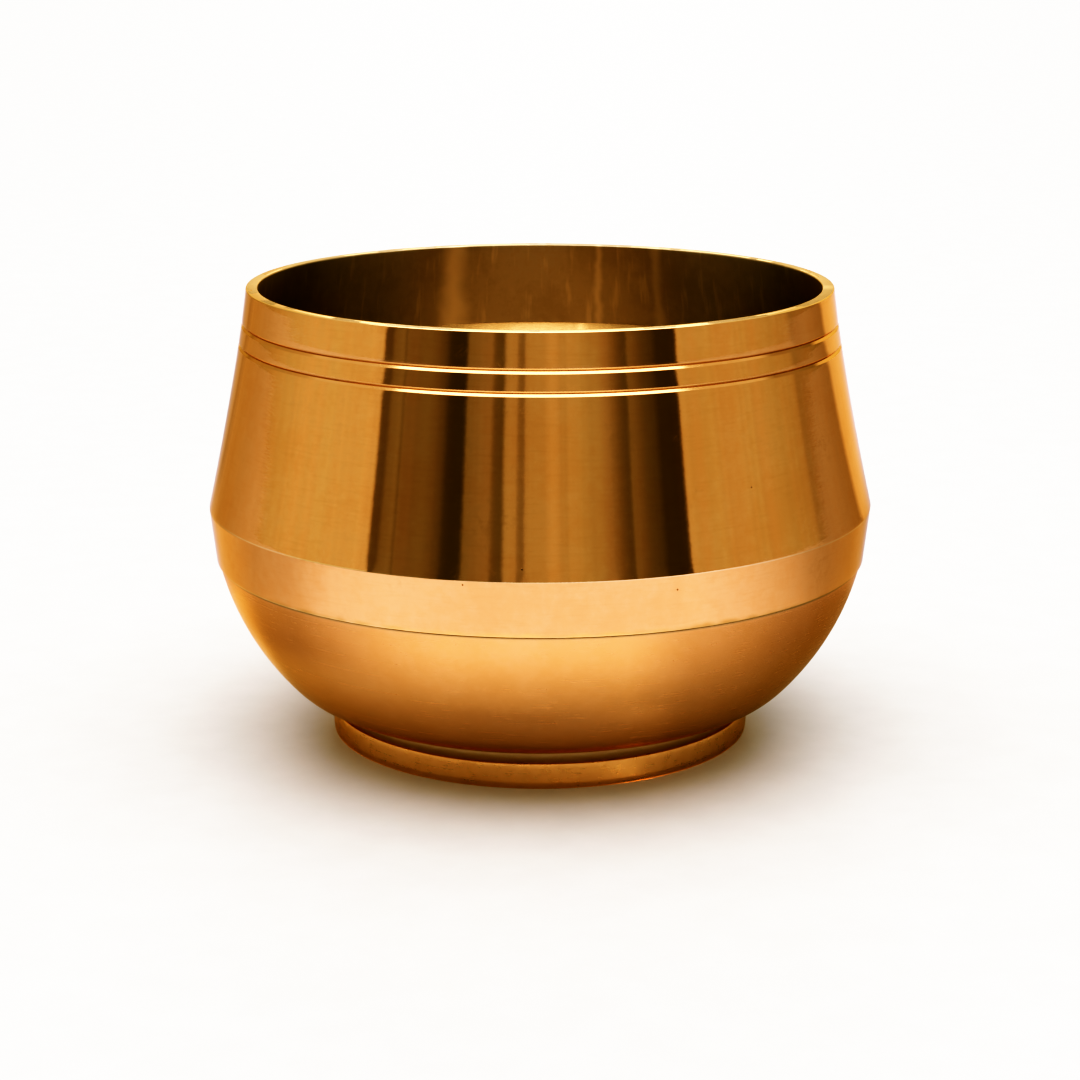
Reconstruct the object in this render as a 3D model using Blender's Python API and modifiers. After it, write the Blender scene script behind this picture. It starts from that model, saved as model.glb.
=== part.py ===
"""Wide-mouthed brass pot of the kalash family, for Blender 4.5.

The pot is three turned brass pieces and the filler metal that joins them:
an upper shell whose skirt laps over the lower bowl's spigot, the lower bowl,
a foot ring brazed under it, and two rings of braze.

Metres, +Z up. The origin is the centre of the foot's resting face.
An outline is a list of (radius, height) points in the half plane at +X,
running down the outer side of its piece.
"""

import math

import bpy

# Driving dimensions.
HEIGHT = 0.1300
BELLY_RADIUS = 0.0950
RIM_RADIUS = 0.0830
RIM_WALL = 0.0034
BOWL_WALL = 0.0030
JOINT_GAP = 0.0003

# Upper shell: the rim, two turned grooves, the wall, the shoulder's edge, the belt and the lap.
RIM_ROUNDING = 0.0004
GROOVE_HEIGHTS = (0.1201, 0.1144)
GROOVE_RADII = (0.0843, 0.0853)
GROOVE_WIDTH = 0.0014
GROOVE_DEPTH = 0.0004
GROOVE_STEP = 0.0002
WALL_SAG = 0.0003
SHOULDER_Z = 0.0678
SHOULDER_ROUNDING = 0.0004
BELT_EDGE_RADIUS = 0.0933
BELT_EDGE_ROUNDING = 0.0003
SEAM_Z = 0.0526
LAP_HEIGHT = 0.0080
SPIGOT_RADIUS = 0.0915
INNER_BELLY_RADIUS = 0.0900
INNER_BELLY_TOP_Z = 0.0660
INNER_BELLY_ROUNDING = 0.0100

# Lower bowl: a side arc and a tighter corner arc that runs into the flat underside.
UNDERSIDE_Z = 0.01045
UNDERSIDE_RADIUS = 0.0573
CORNER_ARC = 0.0231
SIDE_ARC = 0.0730
ARC_CHANGE = math.radians(46.1)

# Foot ring: a band with a chamfered base, a ledge and a neck under the bowl.
FOOT_RADIUS = 0.0606
FOOT_BAND_HEIGHT = 0.0073
FOOT_CHAMFER_HEIGHT = 0.0018
FOOT_CHAMFER_DEPTH = 0.0004
NECK_RADIUS = 0.0571
NECK_ROUNDING = 0.0026
LEDGE_ROUNDING = 0.0004
FOOT_BASE_ROUNDING = 0.0003
FOOT_BORE_TOP = 0.0535
FOOT_BORE_BASE = 0.0562

# Braze: a flush ring in the vee inside the lap, and a fillet inside the foot.
VEE_HALF_HEIGHT = 0.0013
VEE_DEPTH = 0.0009
BRAZE_CROWN = 0.00015
FOOT_FILLET_LEG = 0.0023
FOOT_FILLET_HOLLOW = 0.0003

# Fineness of the turned shapes.
TURN_STEPS = 64
MERGE_DISTANCE = 0.00001
CORNER_STEPS = 3
BOWL_STEPS = 6
WALL_STEPS = 6
FILLET_STEPS = 4
SHARP_ANGLE = math.radians(35)

# Colour, roughness.
POLISHED_BRASS = ((0.86, 0.55, 0.20, 1.0), 0.12)
SATIN_BRASS = ((0.82, 0.50, 0.18, 1.0), 0.32)
TURNED_BRASS = ((0.80, 0.52, 0.20, 1.0), 0.26)
BRAZE_METAL = ((0.84, 0.66, 0.34, 1.0), 0.42)


def clear_scene():
    for obj in list(bpy.data.objects):
        bpy.data.objects.remove(obj)


def brass(name, look):
    colour, roughness = look
    material = bpy.data.materials.new(name)
    material.use_nodes = True
    shader = material.node_tree.nodes["Principled BSDF"]
    shader.inputs["Base Color"].default_value = colour
    shader.inputs["Metallic"].default_value = 1.0
    shader.inputs["Roughness"].default_value = roughness
    return material


def arc(centre, radius, start, end, steps):
    """Points at the angles start to end, measured at the centre from straight down towards +X."""
    points = []
    for i in range(steps + 1):
        angle = start + (end - start) * i / steps
        points.append((centre[0] + radius * math.sin(angle), centre[1] - radius * math.cos(angle)))
    return points


def bowed(start, end, sag, steps):
    """Points on the shallow curve from start to end whose middle lies sag nearer the axis."""
    points = []
    for i in range(steps + 1):
        t = i / steps
        bow = 4 * sag * t * (1 - t)
        points.append((start[0] + (end[0] - start[0]) * t - bow, start[1] + (end[1] - start[1]) * t))
    return points


def rounded(before, corner, after, radius):
    """The corner between two straight sides, replaced by an arc of this radius."""
    to_before = (before[0] - corner[0], before[1] - corner[1])
    to_after = (after[0] - corner[0], after[1] - corner[1])
    length_before = math.hypot(*to_before)
    length_after = math.hypot(*to_after)
    unit_before = (to_before[0] / length_before, to_before[1] / length_before)
    unit_after = (to_after[0] / length_after, to_after[1] / length_after)
    cosine = unit_before[0] * unit_after[0] + unit_before[1] * unit_after[1]
    half_angle = math.acos(cosine) / 2
    reach = radius / math.tan(half_angle)
    middle = (unit_before[0] + unit_after[0], unit_before[1] + unit_after[1])
    to_centre = radius / math.sin(half_angle) / math.hypot(*middle)
    centre = (corner[0] + middle[0] * to_centre, corner[1] + middle[1] * to_centre)
    first = (corner[0] + unit_before[0] * reach, corner[1] + unit_before[1] * reach)
    last = (corner[0] + unit_after[0] * reach, corner[1] + unit_after[1] * reach)
    start = math.atan2(first[0] - centre[0], centre[1] - first[1])
    turn = math.atan2(last[0] - centre[0], centre[1] - last[1]) - start
    turn = (turn + math.pi) % (2 * math.pi) - math.pi
    return arc(centre, radius, start, start + turn, CORNER_STEPS)


def groove(radius, height):
    """A turned vee groove. The metal below it stands one step prouder than the metal above."""
    return [
        (radius, height + GROOVE_WIDTH / 2),
        (radius + GROOVE_STEP / 2 - GROOVE_DEPTH, height),
        (radius + GROOVE_STEP, height - GROOVE_WIDTH / 2),
    ]


def bowl_arcs(inset, top_z, steps):
    """The bowl's side arc and corner arc, inset from the outer surface, from top_z down to the flat."""
    corner_centre = (UNDERSIDE_RADIUS, UNDERSIDE_Z + CORNER_ARC)
    drift = SIDE_ARC - CORNER_ARC
    side_centre = (
        corner_centre[0] - drift * math.sin(ARC_CHANGE),
        corner_centre[1] + drift * math.cos(ARC_CHANGE),
    )
    top_angle = math.acos((side_centre[1] - top_z) / (SIDE_ARC - inset))
    side = arc(side_centre, SIDE_ARC - inset, top_angle, ARC_CHANGE, steps)
    corner = arc(corner_centre, CORNER_ARC - inset, ARC_CHANGE, 0, steps)
    return side + corner[1:]


def turned(name, outline, origin_z, material, parent, is_ring=True):
    """A turned piece. A ring's outline closes on itself; a bowl's outline starts and ends on the axis."""
    points = [(radius, 0, z - origin_z) for radius, z in outline]
    edges = [(i, i + 1) for i in range(len(points) - 1)]
    if is_ring:
        edges.append((len(points) - 1, 0))
    profile = bpy.data.meshes.new(name + "_profile")
    profile.from_pydata(points, edges, [])
    piece = bpy.data.objects.new(name, profile)
    piece.location = (0, 0, origin_z)
    parent.users_collection[0].objects.link(piece)
    piece.parent = parent

    screw = piece.modifiers.new("turn", "SCREW")
    screw.axis = "Z"
    screw.steps = TURN_STEPS
    screw.render_steps = TURN_STEPS
    screw.use_merge_vertices = True
    screw.merge_threshold = MERGE_DISTANCE

    graph = bpy.context.evaluated_depsgraph_get()
    solid = bpy.data.meshes.new_from_object(piece.evaluated_get(graph))
    piece.modifiers.clear()
    piece.data = solid
    solid.name = name
    solid.shade_smooth()
    solid.set_sharp_from_angle(angle=SHARP_ANGLE)
    solid.materials.clear()
    solid.materials.append(material)
    bpy.data.meshes.remove(profile)
    return piece


def upper_shell_outline():
    rim_outer = (RIM_RADIUS, HEIGHT)
    rim_inner = (RIM_RADIUS - RIM_WALL, HEIGHT)
    lap_top = SEAM_Z + LAP_HEIGHT + JOINT_GAP
    skirt_bore = SPIGOT_RADIUS + JOINT_GAP
    first_groove = groove(GROOVE_RADII[0], GROOVE_HEIGHTS[0])
    second_groove = groove(GROOVE_RADII[1], GROOVE_HEIGHTS[1])
    shoulder = (BELLY_RADIUS, SHOULDER_Z)
    belt_edge = (BELT_EDGE_RADIUS, SEAM_Z)
    wall = bowed(second_groove[-1], shoulder, WALL_SAG, WALL_STEPS)
    inner_belly = (INNER_BELLY_RADIUS, INNER_BELLY_TOP_Z)
    vee_top = (INNER_BELLY_RADIUS, lap_top + VEE_HALF_HEIGHT)

    outline = rounded(rim_inner, rim_outer, first_groove[0], RIM_ROUNDING)
    outline += first_groove + second_groove
    outline += wall[1:-1]
    outline += rounded(wall[-2], shoulder, belt_edge, SHOULDER_ROUNDING)
    outline += rounded(shoulder, belt_edge, (skirt_bore, SEAM_Z), BELT_EDGE_ROUNDING)
    outline += [(skirt_bore, SEAM_Z), (skirt_bore, lap_top)]
    outline += [(INNER_BELLY_RADIUS + VEE_DEPTH, lap_top), vee_top]
    outline += rounded(vee_top, inner_belly, rim_inner, INNER_BELLY_ROUNDING)
    outline += rounded(inner_belly, rim_inner, rim_outer, RIM_ROUNDING)
    return outline


def lower_bowl_outline():
    spigot_top = SEAM_Z + LAP_HEIGHT
    outer = bowl_arcs(0, SEAM_Z - JOINT_GAP, BOWL_STEPS)
    inner = bowl_arcs(BOWL_WALL, SEAM_Z, BOWL_STEPS)
    outline = [(0, UNDERSIDE_Z + BOWL_WALL)]
    outline += inner[::-1]
    outline += [(INNER_BELLY_RADIUS, spigot_top - VEE_HALF_HEIGHT)]
    outline += [(INNER_BELLY_RADIUS + VEE_DEPTH, spigot_top), (SPIGOT_RADIUS, spigot_top)]
    outline += [(SPIGOT_RADIUS, SEAM_Z - JOINT_GAP)]
    outline += outer
    outline += [(0, UNDERSIDE_Z)]
    return outline


def foot_ring_outline():
    top_z = UNDERSIDE_Z - JOINT_GAP
    neck_top = (NECK_RADIUS, top_z)
    neck_base = (NECK_RADIUS, FOOT_BAND_HEIGHT)
    ledge_edge = (FOOT_RADIUS, FOOT_BAND_HEIGHT)
    chamfer_top = (FOOT_RADIUS, FOOT_CHAMFER_HEIGHT)
    chamfer_base = (FOOT_RADIUS - FOOT_CHAMFER_DEPTH, 0)
    bore_base = (FOOT_BORE_BASE, 0)
    outline = [neck_top]
    outline += rounded(neck_top, neck_base, ledge_edge, NECK_ROUNDING)
    outline += rounded(neck_base, ledge_edge, chamfer_top, LEDGE_ROUNDING)
    outline += [chamfer_top]
    outline += rounded(chamfer_top, chamfer_base, bore_base, FOOT_BASE_ROUNDING)
    outline += rounded(chamfer_base, bore_base, (FOOT_BORE_TOP, top_z), FOOT_BASE_ROUNDING)
    outline += [(FOOT_BORE_TOP, top_z)]
    return outline


def seam_braze_outline():
    """A low triangle in the vee, its inner face crowned and flush with the bore of the belly."""
    middle_z = SEAM_Z + LAP_HEIGHT + JOINT_GAP / 2
    half_height = VEE_HALF_HEIGHT - JOINT_GAP
    apex = INNER_BELLY_RADIUS + VEE_DEPTH - JOINT_GAP
    return [
        (INNER_BELLY_RADIUS, middle_z + half_height),
        (apex, middle_z),
        (INNER_BELLY_RADIUS, middle_z - half_height),
        (INNER_BELLY_RADIUS - BRAZE_CROWN, middle_z),
    ]


def foot_braze_outline():
    """A fillet in the corner between the bowl's underside and the foot's bore, its open side hollow."""
    top_z = UNDERSIDE_Z - JOINT_GAP
    taper = (FOOT_BORE_BASE - FOOT_BORE_TOP) / top_z
    outer_top = (FOOT_BORE_TOP - JOINT_GAP, top_z)
    outer_base = (outer_top[0] + taper * FOOT_FILLET_LEG, top_z - FOOT_FILLET_LEG)
    inner_top = (outer_top[0] - FOOT_FILLET_LEG, top_z)
    hollow = bowed(inner_top, outer_base, -FOOT_FILLET_HOLLOW, FILLET_STEPS)
    return [outer_top] + hollow[::-1]


def build_pot():
    collection = bpy.data.collections.new("brass_pot")
    bpy.context.scene.collection.children.link(collection)
    axis = bpy.data.objects.new("pot_axis", None)
    collection.objects.link(axis)

    polished = brass("polished_brass", POLISHED_BRASS)
    satin = brass("satin_brass", SATIN_BRASS)
    turned_metal = brass("turned_brass", TURNED_BRASS)
    filler = brass("braze_metal", BRAZE_METAL)

    turned("upper_shell", upper_shell_outline(), SEAM_Z, polished, axis)
    turned("lower_bowl", lower_bowl_outline(), UNDERSIDE_Z, satin, axis, is_ring=False)
    turned("foot_ring", foot_ring_outline(), 0, turned_metal, axis)
    turned("seam_braze", seam_braze_outline(), SEAM_Z, filler, axis)
    turned("foot_braze", foot_braze_outline(), UNDERSIDE_Z, filler, axis)


clear_scene()
build_pot()
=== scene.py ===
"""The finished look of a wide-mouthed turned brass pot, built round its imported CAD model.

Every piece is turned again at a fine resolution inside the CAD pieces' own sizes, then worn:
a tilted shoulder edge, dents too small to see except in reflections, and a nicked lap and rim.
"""

import math
from typing import Callable, NamedTuple, Optional

import bpy
import numpy as np
from mathutils import Color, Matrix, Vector, noise


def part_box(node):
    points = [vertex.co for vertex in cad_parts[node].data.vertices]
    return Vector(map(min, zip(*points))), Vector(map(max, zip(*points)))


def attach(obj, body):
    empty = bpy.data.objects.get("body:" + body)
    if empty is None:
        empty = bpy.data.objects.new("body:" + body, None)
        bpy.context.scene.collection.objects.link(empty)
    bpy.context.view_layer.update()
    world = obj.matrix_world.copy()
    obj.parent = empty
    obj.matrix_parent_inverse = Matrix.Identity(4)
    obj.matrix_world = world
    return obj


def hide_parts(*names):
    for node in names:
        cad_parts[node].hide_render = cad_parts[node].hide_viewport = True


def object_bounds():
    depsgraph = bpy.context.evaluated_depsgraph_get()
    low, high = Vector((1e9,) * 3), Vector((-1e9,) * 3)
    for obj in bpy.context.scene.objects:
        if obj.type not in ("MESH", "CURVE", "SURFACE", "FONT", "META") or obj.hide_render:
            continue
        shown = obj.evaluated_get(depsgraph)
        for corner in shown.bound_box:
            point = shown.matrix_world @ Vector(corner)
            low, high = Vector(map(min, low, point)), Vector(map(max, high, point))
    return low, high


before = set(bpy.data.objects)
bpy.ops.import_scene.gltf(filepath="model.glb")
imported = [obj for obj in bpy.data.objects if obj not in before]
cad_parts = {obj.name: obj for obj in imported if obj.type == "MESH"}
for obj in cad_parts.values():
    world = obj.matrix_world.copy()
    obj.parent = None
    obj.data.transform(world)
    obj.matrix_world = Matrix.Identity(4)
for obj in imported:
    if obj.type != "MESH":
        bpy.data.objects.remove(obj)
cad_low, cad_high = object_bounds()

MM = 0.001

# Sizes read from the frame.
HEIGHT = cad_high.z
BELLY_RADIUS = cad_high.x
SEAM_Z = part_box("upper_shell")[0].z
FOOT_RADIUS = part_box("foot_ring")[1].x
FOOT_TOP_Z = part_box("foot_ring")[1].z
UNDERSIDE_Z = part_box("lower_bowl")[0].z
BOWL_TOP_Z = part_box("lower_bowl")[1].z
VEE_LOW_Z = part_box("seam_braze")[0].z
VEE_HIGH_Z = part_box("seam_braze")[1].z

# Upper shell.
RIM_RADIUS = 0.0830
RIM_WALL = 0.0034
RIM_ROUNDING = 0.0004
GROOVE_HEIGHTS = (0.1201, 0.1144)
GROOVE_RADII = (0.0843, 0.0853)
GROOVE_WIDTH = 0.00143
GROOVE_DEPTH = 0.00042
GROOVE_STEP = 0.0002
GROOVE_TOP_LIP = 0.0002
GROOVE_ROOT = 0.00008
GROOVE_BOTTOM_LIP = 0.0003
WALL_SAG = 0.0003
WALL_SPANS = 8
SHOULDER_Z = 0.0678
SHOULDER_ROUNDING = 0.0005
BELT_EDGE_RADIUS = 0.0933
LAP_ROUNDING = 0.00035
SPIGOT_RADIUS = 0.0915
INNER_BELLY_RADIUS = 0.0900
INNER_BELLY_TOP_Z = 0.0660
INNER_BELLY_ROUNDING = 0.0100
JOINT_GAP = 0.0003
SEAM_LINE = 0.0001
VEE_DEPTH = 0.0009
VEE_ROUNDING = 0.0002
HIDDEN_ROUNDING = 0.0001

# Lower bowl.
BOWL_WALL = 0.0030
UNDERSIDE_RADIUS = 0.0573
CORNER_ARC = 0.0231
SIDE_ARC = 0.0730
ARC_CHANGE = math.radians(46.1)
SPIGOT_ROUNDING = 0.0002
BOWL_EDGE_ROUNDING = 0.0002

# Foot ring.
FOOT_BAND_HEIGHT = 0.0073
FOOT_CHAMFER_HEIGHT = 0.0018
FOOT_CHAMFER_DEPTH = 0.0002
FOOT_CHAMFER_ROUNDING = 0.0006
FOOT_BASE_ROUNDING = 0.0004
FOOT_TOP_ROUNDING = 0.0002
LEDGE_ROUNDING = 0.0003
NECK_RADIUS = 0.0571
NECK_ROUNDING = 0.0026
FOOT_BORE_TOP = 0.0535
FOOT_BORE_BASE = 0.0562

# Braze.
SEAM_BRAZE_SINK = 0.00005
SEAM_BRAZE_CREST = 0.0002
SEAM_BRAZE_ROUNDING = 0.0006
FOOT_FILLET_LEG = 0.0023
FOOT_FILLET_HOLLOW = 0.0004
FOOT_FILLET_ROUNDING = 0.004
FOOT_FILLET_START = 0.0002

# Fineness. The corner share is the most of a straight that the arc at one of its ends may take.
TURN_STEPS = 576
LONGEST_SPAN = 0.0016
ARC_STEP = math.radians(12)
CORNER_SHARE = 0.49
MERGE_DISTANCE = 0.000001
SHARP_ANGLE = math.radians(60)

# Wear of the shapes: (waves in a metre, depth in metres).
LONG_DENTS = (28, 0.000035)
SHORT_DENTS = (110, 0.000006)
SHORT_DENT_STRETCH = np.array((1, 1, 0.5))
RIM_NICKS = (160, 0.00002)
RIM_DIPS = (110, 0.000012)
SHOULDER_NICKS = (380, 0.00004)
LAP_NICKS = (300, 0.00005)
BOWL_LONG_DENTS = (30, 0.00006)
BOWL_SHORT_DENTS = (120, 0.000008)
FOOT_NICKS = (350, 0.00006)
BRAZE_LUMPS = (160, 0.00012)
BRAZE_GRAINS = (520, 0.00005)
# Where it lies: (middle height, reach to each side).
SHOULDER_TILT_BAND = (SHOULDER_Z, 0.030)
WALL_BAND = (0.095, 0.045)
RIM_NICK_BAND = (HEIGHT, 0.0008)
RIM_DIP_BAND = (HEIGHT, 0.0006)
SHOULDER_BAND = (SHOULDER_Z, 0.0007)
LAP_BAND = (SEAM_Z, 0.0006)
BOWL_BAND = (0.034, 0.018)
FOOT_EDGE_BAND = (FOOT_BAND_HEIGHT, 0.0006)
SHOULDER_TILT = 0.00036
LAP_FREE_HEIGHT = 0.0002
WALL_FLARE = 0.16
POLISHED_OFF = 0.00006
RIM_DIP_BIAS = 0.5
FOOT_NICK_BIAS = 0.6
FOOT_EDGE_WIDTH = 0.002
BRAZE_LUMP_LIMIT = 0.00008
NOISE_SHIFT = (7.3, 3.1, 11.7)
TINY = 1e-9

# The camera, in belly radii from the pot's base, and its lens.
CAMERA_DISTANCE = 7.542 * BELLY_RADIUS
CAMERA_HEIGHT = 2.5064 * BELLY_RADIUS
CAMERA_PITCH = math.radians(-14.357)
CAMERA_LENS = 84.8
CAMERA_NEAREST = 0.01
SENSOR_WIDTH = 36.0

# Brass colours.
BRASS_LIGHT = (0.955, 0.537, 0.275, 1.0)
BRASS_DEEP = (0.925, 0.49, 0.235, 1.0)
SATIN_LIGHT = (0.955, 0.505, 0.285, 1.0)
SATIN_DEEP = (0.92, 0.475, 0.25, 1.0)
FOOT_LIGHT = (0.83, 0.45, 0.22, 1.0)
FOOT_DEEP = (0.79, 0.41, 0.185, 1.0)
INSIDE_LIGHT = (0.60, 0.465, 0.33, 1.0)
INSIDE_DEEP = (0.52, 0.39, 0.27, 1.0)
INSIDE_STREAK_HIGHLIGHT = (0.92, 0.72, 0.50, 1.0)
# Painted highlight colour of a bright band inside, below the polish line.
INSIDE_LENS_HIGHLIGHT = (0.93, 0.71, 0.49, 1.0)
BRAZE_PALE = (0.90, 0.68, 0.36, 1.0)
BRAZE_DULL = (0.62, 0.40, 0.17, 1.0)
# Painted highlight colour for the lap's edge, the shoulder and the rim.
BRASS_EDGE_HIGHLIGHT = (0.99, 0.74, 0.46, 1.0)
BRASS_STAIN = (0.42, 0.18, 0.045, 1.0)
BRASS_DRAG = (0.70, 0.36, 0.15, 1.0)
BRASS_PIT = (0.10, 0.035, 0.008, 1.0)
# Paler colour on the foot's neck: painted light that lifts the shade under the bowl.
NECK_PAINTED_LIGHT = (0.86, 0.70, 0.50, 1.0)
# Painted shade colour on the bowl, under the belt and towards the foot.
UNDER_SHADE_COLOUR = (0.42, 0.32, 0.19, 1.0)
# Painted shade colour in the grooves and at the top of the foot's neck.
PAINTED_SHADE_BROWN = (0.13, 0.055, 0.016, 1.0)
EDGE_TINT = (0.92, 0.70, 0.45, 1.0)

# Surface patterns: (waves in a millimetre, detail, roughness), some on a stretched position.
CLOUDS = (0.045, 3.0, 0.6)
MOTTLE = (0.35, 3.0, 0.65)
CLOUD_SHARE = 0.6
MOTTLE_SHARE = 0.4
HUE_RANGE = (0.35, 0.65)
STAIN_CLOUDS = (0.52, 0.72)
STAIN_MOTTLE = (0.42, 0.62)
STAIN_DULLING = 0.25
DRAG_STRETCH = (0.10, 0.10, 1.3)
DRAG_LINES = (1.0, 3.0, 0.7)
DRAG_RANGE = (0.48, 0.72, 0.0, 0.13)
CHATTER_STRETCH = (0.12, 0.12, 0.45)
CHATTER_WAVES = (1.0, 3.0, 0.6)
FLUTE_STRETCH = (1, 1, 0.06)
FLUTE_WAVES = (0.16, 3.0, 0.6)
RIPPLE_STRETCH = (1, 1, 2.2)
RIPPLE_WAVES = (0.32, 2.0, 0.6)
FINE_RINGS = (3.2, 2.0, 0.7)
BROAD_RINGS = (0.55, 1.0, 0.5)
RING_SHARE = 0.5
RING_DRIFT = 0.02
RING_DRIFT_SKEW = 1.3
LOWEST_ROUGHNESS = 0.03
ANISOTROPIC_TURN = 0.25

# Scratches: (lean in radians a millimetre, seed), and how they are drawn.
SCRATCHES = ((0.006, 3.0), (-0.011, 17.0))
SCRATCH_STRETCH = (1.0, 1.0, 0.035)
SCRATCH_LINES = (2.2, 1.0)
SCRATCH_WIDTH = 0.006
SCRATCH_PATCHES = (0.11, 2.0)
SCRATCH_PATCH_SHIFT = 3
SCRATCH_PATCH_RANGE = (0.60, 0.70, 0.0, 0.4)
SCRATCH_DULLING = 0.12
SCRATCH_DEPTH_SHARE = 0.25

# Pits: (millimetres apart, size in millimetres, share of places with one).
SMALL_PITS = (5.0, 0.30, 0.10)
LARGE_PITS = (17.0, 0.45, 0.20)
PIT_SOFTNESS = 0.6
PIT_DARKNESS = 0.85
MARK_DEPTH = 0.02

# Painted shade and painted highlight lines on the edges, in millimetres from the feature, with strengths.
GROOVE_PAINTED_SHADE_START = (-0.10, 0.0)
GROOVE_PAINTED_SHADE_END = (0.25, 0.55, 0.62, 0.0)
FOOT_PAINTED_SHADE = (-1.5, -0.3, 0.0, 0.35)
UNDER_PAINTED_SHADE = (0.2, 3.0, 0.60, 0.0)
LAP_PAINTED_SHADOW = (-0.9, -0.3, 0.0, 0.9)
LAP_EDGE_Z = SEAM_Z + 0.00018
EDGE_HIGHLIGHT_BAND = (0.08, 0.21, 1.0, 0.0)
RIM_HIGHLIGHT_BAND = (-0.30, -0.05)
EDGE_HIGHLIGHT_STRENGTH = 0.6
NECK_INNER = 1.6
NECK_OUTER = 0.5
NECK_FADE = 0.5
NECK_DULLING = 0.45

# Inside the pot: (azimuth from the back in degrees, half width, strength) of each painted highlight
# streak, and more.
INSIDE_HIGHLIGHT_STREAKS = [(-19.5, 4.5, 1.0), (13, 1.4, 0.6), (27, 2.0, 0.5), (-152, 5, 0.8), (96, 4, 0.7)]
STREAK_START = (60, 72)
STREAK_WOBBLE_WAVES = (0.12, 2.0)
STREAK_WOBBLE = 3.0
FAINT_STREAK_STRETCH = (1, 1, 0.02)
FAINT_STREAKS = (0.35, 2.0, 0.6)
FAINT_STREAK_RANGE = (0.55, 0.75, 0.0, 0.35)
POLISH_LINE_Z = 0.1047
POLISH_LINE_FADE = 0.2
LENS_HIGHLIGHT_BASE_Z = (0.094, 0.098)


# Outlines

def rounded(points):
    """Points (radius, height, rounding) as a list of (radius, height), with each corner an arc."""
    outline = []
    for i, (r, z, rounding) in enumerate(points):
        if rounding == 0 or i == 0 or i == len(points) - 1:
            outline.append((r, z))
            continue
        corner = Vector((r, z))
        before = Vector(points[i - 1][:2]) - corner
        after = Vector(points[i + 1][:2]) - corner
        half = before.angle(after) / 2
        longest = min(before.length, after.length) * CORNER_SHARE
        reach = min(rounding / math.tan(half), longest)
        radius = reach * math.tan(half)
        middle = (before.normalized() + after.normalized()).normalized()
        centre = corner + middle * (radius / math.sin(half))
        first = corner + before.normalized() * reach - centre
        last = corner + after.normalized() * reach - centre
        turn = first.angle_signed(last)
        steps = max(2, round(abs(turn) / ARC_STEP))
        for k in range(steps + 1):
            angle = -turn * k / steps
            spoke = Vector((
                first.x * math.cos(angle) - first.y * math.sin(angle),
                first.x * math.sin(angle) + first.y * math.cos(angle),
            ))
            outline.append(tuple(centre + spoke))
    return outline


def arc(centre, radius, start, end):
    """Points from angle start to angle end, measured at the centre from straight down towards +X."""
    steps = max(2, round(abs(end - start) * radius / LONGEST_SPAN))
    angles = [start + (end - start) * k / steps for k in range(steps + 1)]
    return [(centre[0] + radius * math.sin(a), centre[1] - radius * math.cos(a)) for a in angles]


def with_short_spans(outline, is_ring):
    """The same outline with long straight runs cut up, so that they can be worn."""
    fine = []
    count = len(outline)
    for i, point in enumerate(outline):
        fine.append(point)
        if i == count - 1 and not is_ring:
            break
        nearby = outline[(i + 1) % count]
        pieces = math.ceil(math.dist(point, nearby) / LONGEST_SPAN)
        for k in range(1, pieces):
            t = k / pieces
            fine.append((point[0] + (nearby[0] - point[0]) * t, point[1] + (nearby[1] - point[1]) * t))
    return fine


def groove(radius, height):
    """A turned vee groove with softened lips, stepping out to the prouder metal below it."""
    half = GROOVE_WIDTH / 2
    return [
        (radius, height + half, GROOVE_TOP_LIP),
        (radius - GROOVE_DEPTH, height, GROOVE_ROOT),
        (radius + GROOVE_STEP, height - half, GROOVE_BOTTOM_LIP),
    ]


def bowl_arcs(inset, top_z):
    """The bowl's side arc and corner arc, inset from the outer surface, from top_z down to the flat."""
    corner_centre = (UNDERSIDE_RADIUS, UNDERSIDE_Z + CORNER_ARC)
    drift = SIDE_ARC - CORNER_ARC
    side_centre = (
        corner_centre[0] - drift * math.sin(ARC_CHANGE),
        corner_centre[1] + drift * math.cos(ARC_CHANGE),
    )
    top_angle = math.acos((side_centre[1] - top_z) / (SIDE_ARC - inset))
    side = arc(side_centre, SIDE_ARC - inset, top_angle, ARC_CHANGE)
    corner = arc(corner_centre, CORNER_ARC - inset, ARC_CHANGE, 0)
    return side + corner[1:]


def shell_outline():
    """Down the outside from the rim to the lap, then up the inside."""
    lap_top = BOWL_TOP_Z + JOINT_GAP
    skirt_bore = SPIGOT_RADIUS + JOINT_GAP
    wall_top = (GROOVE_RADII[1] + GROOVE_STEP, GROOVE_HEIGHTS[1] - GROOVE_WIDTH / 2)
    wall = []
    for k in range(1, WALL_SPANS):
        t = k / WALL_SPANS
        bow = 4 * WALL_SAG * t * (1 - t)
        radius = wall_top[0] + (BELLY_RADIUS - wall_top[0]) * t - bow
        wall.append((radius, wall_top[1] + (SHOULDER_Z - wall_top[1]) * t, 0))
    corners = [
        (RIM_RADIUS - RIM_WALL / 2, HEIGHT, 0),
        (RIM_RADIUS, HEIGHT, RIM_ROUNDING),
        *groove(GROOVE_RADII[0], GROOVE_HEIGHTS[0]),
        *groove(GROOVE_RADII[1], GROOVE_HEIGHTS[1]),
        *wall,
        (BELLY_RADIUS, SHOULDER_Z, SHOULDER_ROUNDING),
        (BELT_EDGE_RADIUS, SEAM_Z, LAP_ROUNDING),
        (skirt_bore, SEAM_Z, HIDDEN_ROUNDING),
        (skirt_bore, lap_top, HIDDEN_ROUNDING),
        (INNER_BELLY_RADIUS + VEE_DEPTH, lap_top, HIDDEN_ROUNDING),
        (INNER_BELLY_RADIUS, VEE_HIGH_Z + JOINT_GAP, VEE_ROUNDING),
        (INNER_BELLY_RADIUS, INNER_BELLY_TOP_Z, INNER_BELLY_ROUNDING),
        (RIM_RADIUS - RIM_WALL, HEIGHT, RIM_ROUNDING),
        (RIM_RADIUS - RIM_WALL / 2, HEIGHT, 0),
    ]
    return rounded(corners)[:-1]


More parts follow.
